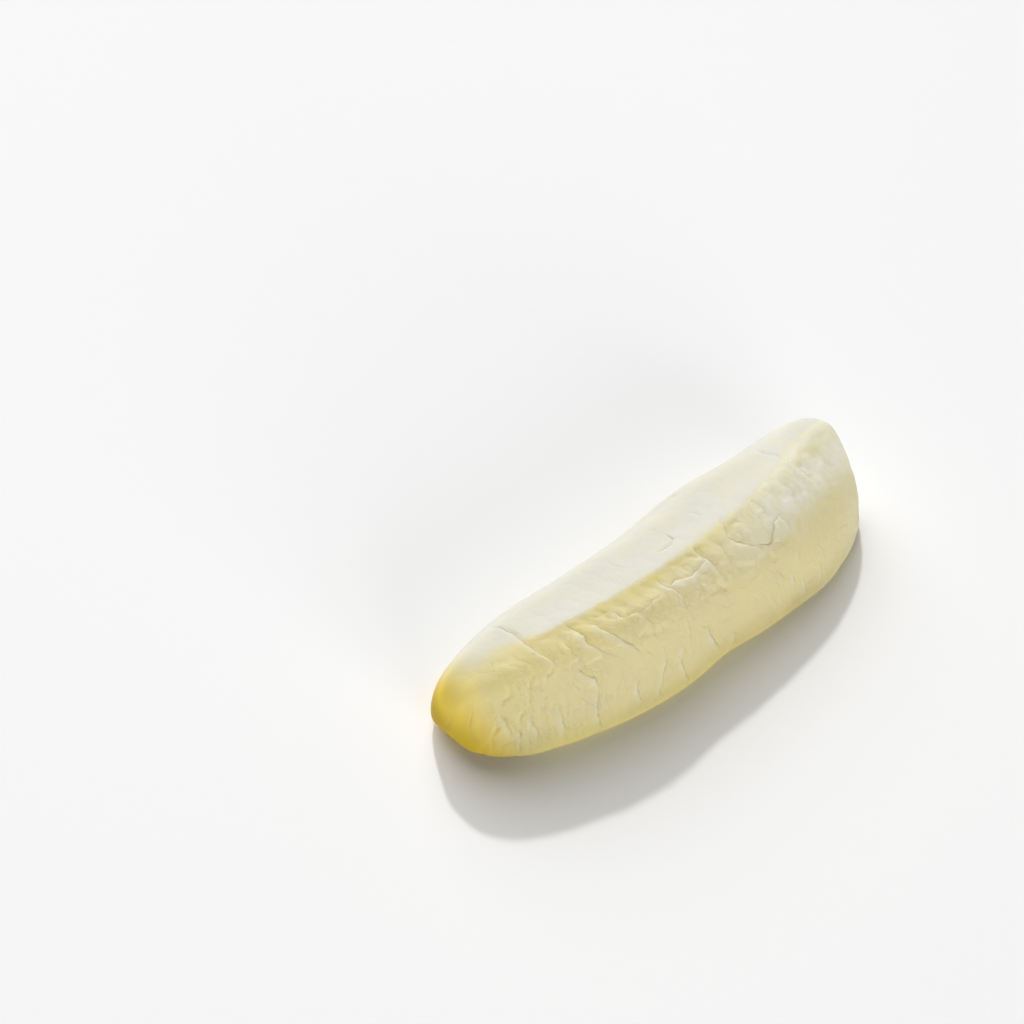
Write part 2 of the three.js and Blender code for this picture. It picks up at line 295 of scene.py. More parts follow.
# %% [markdown]
# ## Places on the skin
# Cracks and colours follow the skin, so each point gets two surface coordinates in millimetres:
# `along`, which is its X, and `girth`, its distance from the ridge measured down the outer side,
# counted below zero on the hollow side. A soft random field bends both a little. Lines that are
# straight on paper then wander on the candy, as real cracks do.

# %% Surface coordinates and a random field
SEED = 20
LATTICE = 96
WANDER, WANDER_SIZE = 0.17, 1.1  # a drawn line strays by about this much, in bends of this size


def noise(u, v, seed):
    """
    A smooth random field from -1 to 1: random numbers sit on the whole-number grid, and between four
    of them the value is blended with s = f * f * (3 - 2 f). One unit of u or v is one grid step.
    """
    lattice = np.random.default_rng(SEED + seed).uniform(-1, 1, (LATTICE, LATTICE))
    iu, iv = np.floor(u).astype(int), np.floor(v).astype(int)
    su, sv = ease(u - iu, 0, 1), ease(v - iv, 0, 1)
    corners = ((0, 0), (1, 0), (0, 1), (1, 1))
    a, b, c, d = (lattice[(iu + i) % LATTICE, (iv + j) % LATTICE] for i, j in corners)
    return (a * (1 - su) + b * su) * (1 - sv) + (c * (1 - su) + d * su) * sv


def rough(u, v, seed, octaves=3):
    """Noise with finer, weaker noise on top: the sum of noise(2^k u, 2^k v) / 2^k."""
    return sum(noise(u * 2**k, v * 2**k, seed + 7 * k) / 2**k for k in range(octaves))


ring_step = np.linalg.norm(np.diff(bar[..., 1:], axis=1), axis=-1)
run = np.concatenate([np.zeros((len(bar), 1)), np.cumsum(ring_step, axis=1)], axis=1)
girth = run - run[:, ridge_column:ridge_column + 1]
along = bar[..., 0]
bent_along = along + WANDER * rough(along / WANDER_SIZE, girth / WANDER_SIZE, 1)
bent_girth = girth + WANDER * rough(along / WANDER_SIZE, girth / WANDER_SIZE, 2)
print("the skin reaches", round(float(girth.max()), 1), "mm down the outer side and",
      round(float(-girth.min()), 1), "mm down the hollow side")

# %% Calm places at the two end points
# Near the two points where the rings close, all lines of the skin run together. So everything that is
# drawn by along and girth fades out there, between two distances from the point.
CALM = (1, 5.5)
PATCH_SIZE = 3


def calm_around(ring):
    """0 near the middle of the first or last ring, and 1 from a few millimetres away."""
    return ease(np.linalg.norm(bar - ring.mean(axis=0), axis=-1), *CALM)


calm_yellow, calm_pale = calm_around(bar[0]), calm_around(bar[-1])
calm = calm_yellow * calm_pale
patches = calm * rough(along / PATCH_SIZE, girth / PATCH_SIZE, 8)
print("the skin is calm on", round(float((calm < 0.5).mean() * 100), 1), "% of the points")

# %% [markdown]
# ## The cracks
# As the candy dries, its skin splits into thin plates whose edges curl up. Each crack is a line drawn
# over the skin. On one side of it the edge stands up as a lip, which dies away over a millimetre. The
# lip is relief in the mesh, so that it catches the light. The slit itself is finer than the mesh, so
# each point stores its distance from the nearest line, and the material cuts the slit from that: a
# distance stays exact between two points, while a slit drawn into the points would look like a chain.

# %% Crack lines
# Each line is a list of (along, girth). The edge curls up below a line drawn towards the pale end,
# and on the yellow end's side of one drawn downwards.
PLATE_CRACKS = [
    [(-22.8, -6), (-22.3, -2.8), (-22.3, 0), (-22.2, 1.8), (-21.5, 3.5), (-20.8, 4.8)],
    [(-17.2, 0), (-16.8, 1.5), (-16.3, 2.8), (-16.6, 3.8), (-15.8, 4.8), (-15, 6)],
    [(-14.8, 1.6), (-14.2, 2.8), (-13.4, 4), (-12.6, 5.2), (-11.9, 6.2), (-10.9, 7.5), (-10.5, 8.5)],
    [(-11.6, 1.6), (-11.2, 2.8), (-10.8, 3.2)],
    [(-4.1, 0.5), (-3.9, 2.3), (-3.6, 2.6), (-2.9, 3.6), (-2.5, 5), (-2.6, 6.8)],
    [(-3.6, 2.6), (-2.5, 2.4), (-1.2, 2.8), (0.3, 3), (2, 2.6), (3.1, 2.4)],
    [(2.9, 0), (3, 2), (3.6, 3), (3.9, 4.5), (4.4, 6.2)],
    [(-0.8, -2.2), (1.2, -1.9), (2, -2.6), (2, -4)],
    [(8.3, -1), (8, 0.5), (7.6, 2), (8.4, 3.2), (9.6, 4.4), (10.4, 5.2), (11.1, 6.4)],
    [(10, 4.6), (11, 5.4), (12.6, 6), (13, 5.2), (14.4, 4.3), (15.6, 4), (16.1, 5), (16.2, 6.5)],
    [(20.4, -5.2), (20.4, -3.6), (21, -2.4), (20.9, -1.4)],
    [(22, 0.8), (22.4, 2.2), (23.2, 4.2)],
]
FLANK_CRACKS = [
    [(-28.8, 6.5), (-28.3, 8.6), (-28, 11)],
    [(-27.2, 10.5), (-26.9, 12.5), (-27.3, 15)],
    [(-25.5, 9.8), (-25, 12.5), (-25.1, 15)],
    [(-21.8, 9.8), (-21.6, 13), (-21.5, 16.5)],
    [(-19, 6.2), (-17.8, 7.8), (-17, 9), (-16.5, 10.4), (-17.2, 13.5), (-16.8, 18)],
    [(-11.2, 12.5), (-11.5, 14.2), (-11, 17)],
    [(-6.7, 11), (-7.4, 13.6), (-8.4, 16.5), (-8, 18)],
    [(-4.2, 11.5), (-4.7, 13.5), (-3.9, 18)],
    [(0, 10.5), (0.6, 12.6), (2.1, 15.7)],
    [(4.6, 14.6), (4.4, 16.2), (4, 18)],
    [(16.2, 13.5), (16.5, 15), (16.7, 17)],
    [(19.3, 13.5), (19.6, 15), (19.5, 16.8)],
]
HAIRLINES = [
    [(-31.2, 8.4), (-31.6, 6.8), (-31.6, 5.2), (-31.1, 3.8), (-30.9, 2.4)],
    [(-19.3, 2.2), (-18.7, 3.2), (-19, 4.2), (-18.3, 5), (-18.8, 6)],
    [(-15, 5.8), (-13.8, 6), (-12.6, 6.2)],
    [(-11, 3.2), (-8, 3.4), (-5, 3)],
    [(-4, 0), (-3.7, 2.5), (-3.3, 4), (-3.5, 5.5)],
    [(-3.9, 2.3), (-2, 2.3), (-1.7, 0.2)],
    [(8.3, 0.5), (9.8, 1), (10.6, 2)],
    [(13, 5.2), (12.4, 3.6), (13, 2.2)],
    [(16.4, 2.8), (16.6, 3.8)],
    [(-6.3, -5), (-6, -3.8), (-5.5, -2.9)],
    [(6.4, -4.8), (7, -3.6), (6.8, -2.6)],
    [(-16.2, 11), (-15.9, 13), (-15.6, 15)],
    [(-13.6, 9.5), (-13.2, 12), (-13.4, 14)],
    [(-2.9, 6.5), (-2.9, 9), (-2.6, 11)],
    [(-23.5, 3), (-22.5, 4.6), (-22.9, 6.5)],
    [(-25.4, 2.2), (-24.6, 4.4), (-24.9, 6)],
    [(-8.6, 4.4), (-7.6, 5.8), (-7.9, 7.6)],
    [(5.6, 1.2), (6, 2.8), (5.7, 4)],
    [(18.4, 1), (19.2, 2.4), (19, 4.4)],
    [(25.5, 1), (26.3, 3), (26, 5)],
]
print(len(PLATE_CRACKS), "cracks part the plates, with", len(FLANK_CRACKS), "on the flank and",
      len(HAIRLINES), "hairlines")

# %% Cracks drawn by a seeded rule
# The hollow flank is not known, so it gets cracks like those of the outer one. The outer flank and the
# near slope also carry many short wrinkles, too small and too many to draw one by one.
SWING = 0.35


def short_lines(count, area, length, lean, seed):
    """
    Lines of four points that start anywhere in area (along from, to; girth from, to) and run down by a
    random length, with along growing by lean times that length and swinging a little on the way.
    """
    rng = np.random.default_rng(SEED + seed)
    lines = []
    for _ in range(count):
        start, top = rng.uniform(*area[:2]), rng.uniform(*area[2:])
        down = rng.uniform(*length)
        swing = np.cumsum(rng.uniform(-SWING, SWING, 4))
        steps = [(s, down * k / 3) for k, s in enumerate(swing)]
        lines.append([(start + s + lean * fall, top + fall) for s, fall in steps])
    return lines


hollow_flank_cracks = short_lines(13, (-27, 26, -16, -11), (2.5, 5), 0, 0)
flank_wrinkles = short_lines(20, (-30, -14, 8, 14), (1.2, 3), 0.1, 1)
flank_wrinkles += short_lines(15, (-14, 22, 9, 14), (1.2, 3), 0.1, 2)
slope_wrinkles = short_lines(26, (-29, -8, 0.5, 7), (1, 2.6), 0.8, 3)
slope_wrinkles += short_lines(14, (-8, 14, 1, 7), (1, 2.4), 0.5, 4)
print("a seeded rule adds", len(hollow_flank_cracks + flank_wrinkles + slope_wrinkles), "more")

# %% Distance from a crack
CRACK_FADE = 1.1  # a crack grows to its full strength over this length
CRACK_START = 0.2  # and its two ends start at this share of that growth


def near_line(line):
    """
    Distance of every point of the skin from a drawn line, above zero on the side that curls up, and a
    share that is 1 along the line and fades out at its two ends.
    """
    near = np.full(along.shape, np.inf)
    side = np.zeros(along.shape)
    place = np.zeros(along.shape)
    done = 0.0
    for (ax, ag), (bx, bg) in zip(line, line[1:]):
        dx, dg = bx - ax, bg - ag
        long = math.hypot(dx, dg)
        part = np.clip(((bent_along - ax) * dx + (bent_girth - ag) * dg) / long**2, 0, 1)
        distance = np.hypot(bent_along - ax - part * dx, bent_girth - ag - part * dg)
        closer = distance < near
        near = np.where(closer, distance, near)
        side = np.where(closer, dx * (bent_girth - ag) - dg * (bent_along - ax), side)
        place = np.where(closer, done + part * long, place)
        done += long
    end = ease(np.minimum(place, done - place) / CRACK_FADE + CRACK_START, 0, 1)
    return np.where(side < 0, -near, near), end


# %% Relief of all cracks
# For each kind: its lines, how strong its slit is from 0 to 1, and the height of its lip.
CRACK_KINDS = [
    (slope_wrinkles, 0.3, 0.07),
    (flank_wrinkles, 0.5, 0.12),
    (HAIRLINES, 0.45, 0.1),
    (hollow_flank_cracks, 0.75, 0.16),
    (FLANK_CRACKS, 1.0, 0.22),
    (PLATE_CRACKS, 1.0, 0.24),
]
SLIT_REACH = 0.5  # a point further away than this doesn't know the slit
LIP_RISE, LIP_REACH = 0.2, 0.7  # the lip is full at the first distance and dies away over the second
DIP, DIP_WIDTH = 0.13, 0.34  # depth and half width of the hollow along a slit
CRACK_VARIETY, VARIETY_SIZE = 0.4, 1.3  # a crack weakens by up to this share, in stretches of this size

slit_distance = np.full(along.shape, SLIT_REACH)
slit_strength = np.zeros(along.shape)
lips = np.zeros(along.shape)
dips = np.zeros(along.shape)
variety = 1 - CRACK_VARIETY * ease(noise(along / VARIETY_SIZE, girth / VARIETY_SIZE, 60), 0.5, -0.5)
for lines, strength, lip in CRACK_KINDS:
    for line in lines:
        distance, end = near_line(line)
        end = end * variety
        here = strength * end * ease(np.abs(distance), SLIT_REACH, SLIT_REACH / 2)
        slit_distance = np.where(here > slit_strength, distance, slit_distance)
        slit_strength = np.maximum(slit_strength, here)
        curl = ease(distance, 0, LIP_RISE) * np.exp(-np.maximum(distance, 0) / LIP_REACH)
        lips = np.maximum(lips, lip * end * curl)
        dips = np.maximum(dips, DIP * strength * end * bell(distance, DIP_WIDTH))
print("the highest lip stands", round(float(lips.max()), 2), "mm up")

# %% [markdown]
# ## The rest of the skin
# Between its cracks the skin isn't smooth either. Each plate of the near slope is a low dome, the whole
# bar sags and swells by up to 0.15 mm, and a shallow valley runs just under the ridge. Creases run down
# the flank, most of them near the yellow end, small wrinkles cross the near slope, and a few bubbles
# have burst.

# %% Domes of the plates
PLATE_ALONG, PLATE_DOWN = 2.5, 3.3
PLATE_LEAN = 0.3  # a plate shifts by this much along the bar for each step down
DOME = 0.21  # the edges of a plate lie this much lower than its middle
DOME_EDGE = 0.3  # and the fall to them takes this share of a cell


def cell_edges(u, v, seed):
    """
    Distance from the nearest edge of a net of cells, where one random point sits in each square of the
    whole-number grid. An edge is as far from its first as from its second point: (second - first) / 2.
    """
    random = np.random.default_rng(SEED + seed).uniform(0.1, 0.9, (2, LATTICE, LATTICE))
    iu, iv = np.floor(u).astype(int), np.floor(v).astype(int)
    first = np.full(u.shape, np.inf)
    second = np.full(u.shape, np.inf)
    for cu in (iu - 1, iu, iu + 1):
        for cv in (iv - 1, iv, iv + 1):
            pu, pv = random[:, cu % LATTICE, cv % LATTICE]
            distance = np.hypot(cu + pu - u, cv + pv - v)
            second = np.minimum(second, np.maximum(first, distance))
            first = np.minimum(first, distance)
    return (second - first) / 2


# The plates show on the near slope, hardly on the hollow side, and less towards the pale end.
edges = cell_edges((bent_along - PLATE_LEAN * bent_girth) / PLATE_ALONG, bent_girth / PLATE_DOWN, 40)
plate_zone = 0.15 + 0.85 * ease(girth, -0.2, 0.8) * ease(girth, 9, 6.5) * ease(along, -30, -24)
plate_zone = plate_zone * (1 - 0.5 * ease(along, 12, 20)) * (0.7 + 0.5 * patches)
domes = -DOME * plate_zone * (1 - ease(edges, 0, DOME_EDGE))
print("a plate is about", PLATE_ALONG, "mm long and", PLATE_DOWN, "mm wide")

# %% Swells and the valley
# The tip of the yellow end is smooth, and the hollow side's slope is calmer than the near one.
SWELL, RIPPLE = 0.09, 0.05
VALLEY_SIDE, VALLEY_WIDTH, VALLEY_DEPTH = 1.1, 0.7, 0.08
smooth_end = ease(along + 0.14 * girth, -31.4, -29.6)
near_side = 1 - 0.75 * ease(girth, 0.3, -0.8)
swells = SWELL * rough(along / 6, girth / 5, 3, 2)
ripple = RIPPLE * smooth_end * near_side * (1 - 0.4 * ease(along, 8, 16))
swells += ripple * rough(along / 1.7, girth / 1.5, 4, 4)
valley = -VALLEY_DEPTH * ease(along, -22, -16) * ease(along, 14, 9)
valley = valley * bell(girth - VALLEY_SIDE, VALLEY_WIDTH)
print("the swells span", round(float(np.ptp(swells)), 2), "mm")

# %% Creases, wrinkles and pits
# A crease or wrinkle is a line where a random field passes through 0. The field of the creases is drawn
# out down the skin, and that of the wrinkles leans. Each pit: along, girth, depth and width.
CREASE_DEPTH, WRINKLE_DEPTH = 0.21, 0.08
PITS = [(-23.5, 7.9, 0.16, 0.22), (28.9, 8.5, 0.16, 0.25), (4, 3.6, 0.2, 0.25), (6, 12.5, 0.08, 0.3),
        (-29.2, 8.6, 0.2, 0.3), (1.5, -6, 0.08, 0.3), (14.5, -8, 0.08, 0.3)]
crease_field = np.abs(noise(bent_along / 0.8, bent_girth / 3.4, 5))
crease_zone = ease(girth, 1, 6) * (0.4 + 0.6 * ease(along, -15, -23)) * ease(along, -31.5, -29)
creases = -CREASE_DEPTH * ease(crease_field, 0.22, 0) * crease_zone
across, down = (bent_along - 0.6 * bent_girth) / 0.9, (bent_girth + 0.3 * bent_along) / 1.6
wrinkle_field = np.abs(noise(across, down, 6))
wrinkle_zone = ease(girth, 0.3, 1.2) * ease(girth, 9, 6) * ease(patches, -0.6, 0.3)
wrinkle_zone = wrinkle_zone * ease(along, -30, -26) * (1 - 0.8 * ease(along, 9, 17))
wrinkles = -WRINKLE_DEPTH * ease(wrinkle_field, 0.2, 0) * wrinkle_zone
pits = sum(-depth * bell(np.hypot(along - x, girth - g), width) for x, g, depth, width in PITS)
relief = (lips - dips + domes + swells + valley + creases + wrinkles + pits) * calm
print("the relief spans", round(float(np.ptp(relief)), 2), "mm")

# %% Carve the relief into the bar
FOOT_FADE = (0.5, 1.8)  # the relief fades out between these heights, so the underside stays flat


def carve(points, height):
    """Moves each point by height along its normal n = around x along, then lays the underside flat."""
    around = np.gradient(points, axis=1)
    forward = np.gradient(points, axis=0)
    normal = np.cross(around, forward)
    normal /= np.linalg.norm(normal, axis=-1, keepdims=True) + TINY
    clear = ease(points[..., 2], *FOOT_FADE)
    moved = points + normal * (height * clear)[..., None]
    moved[..., 2] = np.maximum(moved[..., 2], FLAT) - FLAT
    return moved


carved = carve(bar, relief)
print("carved:", [round(float(v), 1) for v in np.ptp(carved.reshape(-1, 3), axis=0)], "mm")

# %% [markdown]
# ## From grid to mesh
# The grid's rows are rings, and its first and last column are the same seam under the bar, so the last
# one is dropped and the faces wrap round. Each end closes on one point with a fan of triangles.

# %% Faces of the mesh


def grid_faces(rings, columns):
    """Quads between neighbouring rings, with the column after the last one being the first again."""
    ring = np.arange(rings - 1)[:, None]
    column = np.arange(columns)[None, :]
    after = (column + 1) % columns
    corners = [ring * columns + column, ring * columns + after,
               (ring + 1) * columns + after, (ring + 1) * columns + column]
    return np.stack(corners, axis=-1).reshape(-1, 4)


def cap_faces(first, pole, columns, turned):
    """A fan of triangles from one ring of points, which starts at index first, to its pole."""
    column = np.arange(columns)
    a, b = first + column, first + (column + 1) % columns
    middle = np.full(columns, pole)
    return np.stack([middle, b, a] if turned else [middle, a, b], axis=-1)


# %% Build the mesh
rings, columns = carved.shape[0], carved.shape[1] - 1
ends = section_sizes(np.array([-1.0, 1.0]))
poles = np.stack([[-LENGTH / 2, LENGTH / 2], ends["middle"], ends["waist"] - FLAT], axis=-1)
points = np.concatenate([carved[:, :-1].reshape(-1, 3), poles])
lowest, highest = points.min(0), points.max(0)
solid_middle = np.array(node_low + node_high) / 2 / MM
points[:, :2] += solid_middle[:2] - (lowest + highest)[:2] / 2
faces = grid_faces(rings, columns).tolist()
faces += cap_faces(0, rings * columns, columns, True).tolist()
faces += cap_faces((rings - 1) * columns, rings * columns + 1, columns, False).tolist()
mesh = bpy.data.meshes.new("foam_bar")
mesh.from_pydata(points * MM, [], faces)
mesh.polygons.foreach_set("use_smooth", np.ones(len(mesh.polygons), dtype=bool))
mesh.update()
foam_bar = bpy.data.objects.new("foam_bar", mesh)
bpy.context.scene.collection.objects.link(foam_bar)
print("foam_bar has", sum(len(face) - 2 for face in faces), "triangles; the bar moved by",
      (solid_middle - (lowest + highest) / 2)[:2].round(2), "mm")

# %% [markdown]
# ## Colour masks
# The foam is pale lemon, but not evenly. One end is deep yellow, which fades out over a centimetre, and
# a patchy yellow band runs just below the ridge. The slope on the hollow side, the pale end and the
# curled lips are dry and chalky white, and they are also painted paler where light falls on them, while
# shade is painted darker at the foot, in a valley and low on the yellow end. Painting a picture would
# tie the colours to one mesh. Instead each point carries numbers from 0 to 1, worked out from its place
# on the skin, and the material mixes its colours by them. Most masks are a strength times a few eased
# steps: each step is 0 at its first place and 1 at its second, in millimetres along the bar, down the
# skin or above the table.

# %% The yellow end
# The deep yellow grows stronger one way, towards the end and downwards. The rim of the end is yellower
# on the hollow side. Where the end nears the table, its low part, which faces down, is painted a darker
# ochre as shade.
CAP_WAY = (-0.893, 0.203, -0.401)
CAP_START, CAP_FULL = 20, 29.5  # where the yellow begins and is full, in millimetres along that way
height = bar[..., 2]
cap_depth = bar @ np.array(CAP_WAY)
rim_yellow = 1.6 * ease(girth, 1, -3) * ease(cap_depth, 23.5, 26)
cap = ease(cap_depth + 0.3 * patches + rim_yellow, CAP_START, CAP_FULL)
cap_low_shade = np.where(girth < 1, 0.7 * ease(height, 8, 2), 0.75 * ease(height, 11, 4))
cap_low_shade = cap_low_shade * ease(cap_depth, 20.5, 28.5)
print("the yellow end covers", round(float((cap > 0.5).mean() * 100)), "% of the points")

# %% Weaker yellow
# A weak yellow reaches on from the end along the flank. Along the foot, yellow is painted in as
# reflected light and shade near the table. The patchy band runs below the ridge, and a fainter one goes
# on near the pale end. Each spot: along, girth and strength.
YELLOW_SPOTS = [(-4.1, 0.5, 0.9), (-22.2, -1.6, 0.5)]
SPOT_SIZE = 0.4
yellow_reach = 0.25 * ease(cap_depth, 12, 23) * ease(girth, -2, 6) * (1 - 0.5 * ease(height, 7, 3))
foot_bounce_yellow = (0.08 + 0.26 * ease(along, -12, -27)) * ease(height, 5.5, 0.8)
patchy = 0.4 + 0.7 * ease(noise(along / 1.6, girth / 0.9, 70), -0.4, 0.5)
band_strength = 0.42 * ease(along, -24, -17) * ease(along, 15, 8) + 0.2 * bell(along + 7, 5)
band = band_strength * ease(girth, -0.1, 0.5) * ease(girth + 0.3 * patches, 2.2, 0.7)
pale_strength = (0.12 + 0.25 * bell(along - 25, 4)) * ease(along, 6, 12)
pale_band = pale_strength * bell(girth - 1 + 0.4 * patches, 1.1) * calm_pale
spots = sum(share * bell(np.hypot(along - x, girth - g), SPOT_SIZE) for x, g, share in YELLOW_SPOTS)
yellow = np.clip(yellow_reach + foot_bounce_yellow + patchy * (band + pale_band) + spots, 0, 1)
print("the weaker yellow is strongest at", round(float(yellow.max()), 2))

# %% Dust and painted sheen
# The hollow side's slope is dusty, and its pale tone is also painted sheen, for the light that falls on
# that slope. The dust ends crisply at the ridge, but softly towards both ends. Around the point where the
# rings close at the pale end, the dust has one even strength. Down the hollow side and at the pale end it
# is painted darker, as shade.
POLE_DUST_AND_SHEEN = 0.35
dust_and_sheen_edge = girth + 0.2 + 0.35 * noise(along / 1.1, girth / 1.1, 71)
dust_and_sheen_softness = 0.8 + 2.2 * ease(along, -18, -26) + 1.8 * ease(along, 14, 24)
dust_and_sheen = ease(dust_and_sheen_edge, 0.35, 0.35 - dust_and_sheen_softness) * (0.9 + 0.1 * patches) * ease(along, -32, -26)
dust_and_sheen = np.maximum(dust_and_sheen, 0.6 * bell(girth + 0.6, 1.2) * ease(along, 21, 27))
dust_and_sheen = dust_and_sheen * calm_pale + POLE_DUST_AND_SHEEN * (1 - calm_pale)
# painted shade: the dust darkens down the hollow side and at the pale end
far_shade = np.maximum(ease(girth, -1, -9), 0.85 * ease(along, 20, 29))
print("dust covers", round(float((dust_and_sheen > 0.5).mean() * 100)), "% of the points")

# %% Painted shade, chalk and painted highlights
# Shade is painted in as a darker tone along the foot and in the valley under the ridge. The lips of the
# cracks are painted lighter, as the highlight they catch. The slope towards the pale end is chalky, and
# also painted lighter where light falls on it, and a few plates in the middle are chalky. The texture
# mask says where the finest hairlines and the grain show: not on the smooth yellow end, and less on
# the hollow side.
POLE_CHALK = 0.4
foot_top = 5 + 0.8 * ease(along, -14, -24)
foot_shade = ease(height + 0.5 * patches, foot_top, 0) * (1 - 0.8 * ease(along, 14, 25))
valley_shade = 0.3 * ease(girth, -0.6, 0) * ease(girth, 2.6, 1.5)
valley_shade = valley_shade * ease(along, -25, -19) * ease(along, 5, -3)
painted_shade = np.maximum(foot_shade, valley_shade)
# painted highlight: the lips of the cracks are lighter, for the light they catch
lip_highlight = ease(lips, 0.03, 0.11) * 0.4
patch_chalk = 0.14 * ease(patches, 0.1, 0.9) * ease(girth, 9, 4)
plate_chalk = 0.25 * bell(girth - 2.7, 1.3) * bell(along + 1, 5)
# chalky towards the pale end, and painted lighter still there, as lit
dry_and_lit_end = 0.85 * ease(along, -1, 20) * ease(girth + 1.2 * patches, 8.5, 4.2)
dry_and_lit_end = np.maximum(dry_and_lit_end, 0.28 * ease(along, 22, 29))
dry_and_lit_end = dry_and_lit_end * calm_pale + POLE_CHALK * (1 - calm_pale)
chalk_and_highlight = np.clip(np.maximum(lip_highlight, dry_and_lit_end) + patch_chalk + plate_chalk, 0, 1)
chalk_and_highlight = chalk_and_highlight * (1 - cap) * (1 - dust_and_sheen)
texture = smooth_end * (1 - 0.7 * ease(girth, 0, -1)) * calm
print("chalk covers", round(float((chalk_and_highlight > 0.5).mean() * 100)), "% of the points")

# %% Light through the foam
# Light that enters the lit side comes out faintly and yellow on the shaded one: along the foot, in the
# thin yellow end, and on the near slope beside it. The crease where the yellow end begins stays darker.
CREASE_ALONG, CREASE_TURN, CREASE_WIDTH = -31.85, 0.55, 0.25
cap_glow = (0.8 * cap + 0.5 * ease(cap_depth, 25, 30)) * ease(height, 4, 9) * ease(girth, -7, -2)
cap_glow = cap_glow * (1 - 0.6 * bell(girth - 4, 2))
cap_glow = cap_glow + 0.42 * bell(girth - 0.9, 1.8) * bell(cap_depth - 22.5, 2.2)
from_crease = along - CREASE_ALONG - CREASE_TURN * ease(girth, 5.5, 2)
cap_crease = bell(from_crease, CREASE_WIDTH) * ease(girth, 1.8, 2.8)
cap_glow = cap_glow * (1 - 0.65 * cap_crease)
slope_glow = 0.22 * bell(girth - 3.2, 2) * ease(along, -10, -17)
foot_glow = 0.55 * ease(height, 5, 0.3) * ease(along, 28, 0)
foot_glow += 0.25 * ease(height, 1.6, 0.3) * ease(along, 31, 26) * ease(along, -26, -12)
foot_glow = foot_glow * (1 - ease(cap_depth, 17, 25))
glow = cap_glow + slope_glow + foot_glow * ease(girth, 3, 9)
print("the glow reaches", round(float(glow.max()), 2), "of its strength")

# %% Store the masks


def store(name, grid):
    """
    Keeps one number per point of the mesh under a name that the material can read. Each of the two
    end points gets the mean of the ring beside it.
    """
    attribute = mesh.attributes.new(name, "FLOAT", "POINT")
    values = np.concatenate([grid[:, :-1].ravel(), [grid[0].mean(), grid[-1].mean()]])
    attribute.data.foreach_set("value", values.astype(np.float32))


masks = {
    "yellow": yellow, "cap": cap, "cap_low_shade": cap_low_shade, "chalk_and_highlight": chalk_and_highlight, "dust_and_sheen": dust_and_sheen, "far_shade": far_shade,
    "painted_shade": painted_shade, "slit_distance": slit_distance, "slit_strength": slit_strength,
    "smooth_end": smooth_end, "glow": glow, "texture": texture,
}
for name, grid in masks.items():
    store(name, grid)
print("each point carries", len(masks), "masks")

# %% Skin map
# The map gives the material the same two coordinates, in hundreds of millimetres. The two end points
# lie halfway down.
MAP_UNIT = 100
POLE_GIRTH = 6
corner_point = np.empty(len(mesh.loops), dtype=np.int32)
mesh.loops.foreach_get("vertex_index", corner_point)
place_on_skin = np.stack([along[:, :-1].ravel(), girth[:, :-1].ravel()], axis=-1)
end_places = [[-LENGTH / 2, POLE_GIRTH], [LENGTH / 2, POLE_GIRTH]]
place_on_skin = np.concatenate([place_on_skin, end_places]) / MAP_UNIT
skin_map = mesh.uv_layers.new(name="skin")
skin_map.data.foreach_set("uv", place_on_skin[corner_point].astype(np.float32).ravel())
print("the skin map spans", np.ptp(place_on_skin, axis=0).round(2))

# %% [markdown]
# ## The foam's material
# Sugar foam is full of tiny bubbles. Light goes in, bounces between them and comes out some
# millimetres away, so shadows on it are soft and yellow, because blue is lost on the way. Subsurface
# scattering does just this: its radius is longest for red and shortest for blue. It takes a third of the
# light, and the chalky skin sends the rest back at once, which keeps its cracks crisp. Its sockets hold
# plain values, because they are the same all over. It doesn't carry light through the whole bar, so a
# faint yellow emission stands for that, where the glow mask puts it.

# %% Colours of the foam
FOAM = (0.83, 0.74, 0.405)
# chalk, which is also the painted highlight on the lips and on the lit slope at the pale end
CHALK_AND_HIGHLIGHT = (0.91, 0.88, 0.75)
# painted sheen: the dust is paler than dust alone, for the light falling on the hollow slope
DUST_AND_SHEEN = (0.80, 0.79, 0.70)
# painted shade: the darker dust down the hollow side and at the pale end
SHADED_DUST = (0.68, 0.675, 0.605)
LEMON = (0.72, 0.65, 0.25)
DEEP_YELLOW = (0.87, 0.58, 0.01)
# painted shade: the darker ochre low on the yellow end, which faces down
SHADED_OCHRE = (0.68, 0.48, 0.03)
# painted shade: the darker tone at the foot and in the valley under the ridge
SHADE_TINT = (0.58, 0.49, 0.28)
# painted shade in the slits and hairlines
SLIT_SHADE = (0.56, 0.48, 0.22)
GLOW = (1, 0.84, 0.05)
GLOW_STRENGTH = 0.25
# Plain values of the shader: the radius is given for red, green and blue, and the scale in metres.
FOAM_SOCKETS = {
    "Subsurface Weight": 0.3,
    "Subsurface Radius": (1.0, 0.85, 0.2),
    "Subsurface Scale": 0.006,
    "Specular IOR Level": 0.1,
    "Sheen Weight": 0.02,
    "Emission Strength": GLOW_STRENGTH,
}
print("light spreads about", round(FOAM_SOCKETS["Subsurface Scale"] / MM), "mm through the foam")

# %% Node helpers


def new_material(name):
    """A material with a Principled shader and an output, joined, on an otherwise empty tree."""
    material = bpy.data.materials.new(name)
    material.use_nodes = True
    tree = material.node_tree
    tree.nodes.clear()
    output = tree.nodes.new("ShaderNodeOutputMaterial")
    shader = tree.nodes.new("ShaderNodeBsdfPrincipled")
    tree.links.new(shader.outputs["BSDF"], output.inputs["Surface"])
    return material, tree, shader


def point_value(tree, name):
    """The number that each point carries under this name."""
    node = tree.nodes.new("ShaderNodeAttribute")
    node.attribute_name = name
    return node.outputs["Fac"]


